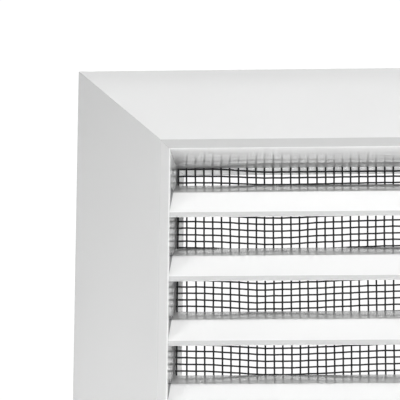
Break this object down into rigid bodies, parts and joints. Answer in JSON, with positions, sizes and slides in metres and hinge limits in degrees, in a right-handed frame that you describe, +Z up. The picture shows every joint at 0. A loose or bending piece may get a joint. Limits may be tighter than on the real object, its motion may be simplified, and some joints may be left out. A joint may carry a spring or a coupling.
{
  "type": "louvred air grille",
  "caption": "Rectangular wall air grille with a bevelled mitred frame, fixed sloping louvre blades and a woven insect screen behind them.",
  "frame": {"origin": "centre of the four wall screw holes, on the plane of the back face that lies on the wall", "axes": "+Z up along the height, +Y from the front face into the wall, +X to the right seen from the front"},
  "size_m": [0.15, 0.018, 0.3],
  "materials": {
    "frame_paint": "semi-gloss white powder coat",
    "blade_paint": "semi-gloss white powder coat",
    "key_metal": "mill finish",
    "screen_thread": "coated glass-fibre thread, black"
  },
  "bodies": {
    "root": {"frame_top_rail": "frame_paint", "frame_bottom_rail": "frame_paint", "frame_left_stile": "frame_paint", "frame_right_stile": "frame_paint", "corner_key_top_left": "key_metal", "corner_key_top_right": "key_metal", "corner_key_bottom_left": "key_metal", "corner_key_bottom_right": "key_metal", "blade_01": "blade_paint", "blade_02": "blade_paint", "blade_03": "blade_paint", "blade_04": "blade_paint", "blade_05": "blade_paint", "blade_06": "blade_paint", "blade_07": "blade_paint", "blade_08": "blade_paint", "blade_09": "blade_paint", "blade_10": "blade_paint", "blade_11": "blade_paint", "blade_12": "blade_paint", "blade_13": "blade_paint", "blade_14": "blade_paint", "blade_15": "blade_paint", "blade_16": "blade_paint", "blade_17": "blade_paint", "blade_18": "blade_paint", "blade_19": "blade_paint", "screen_warp": "screen_thread", "screen_weft": "screen_thread"}
  },
  "joints": []
}
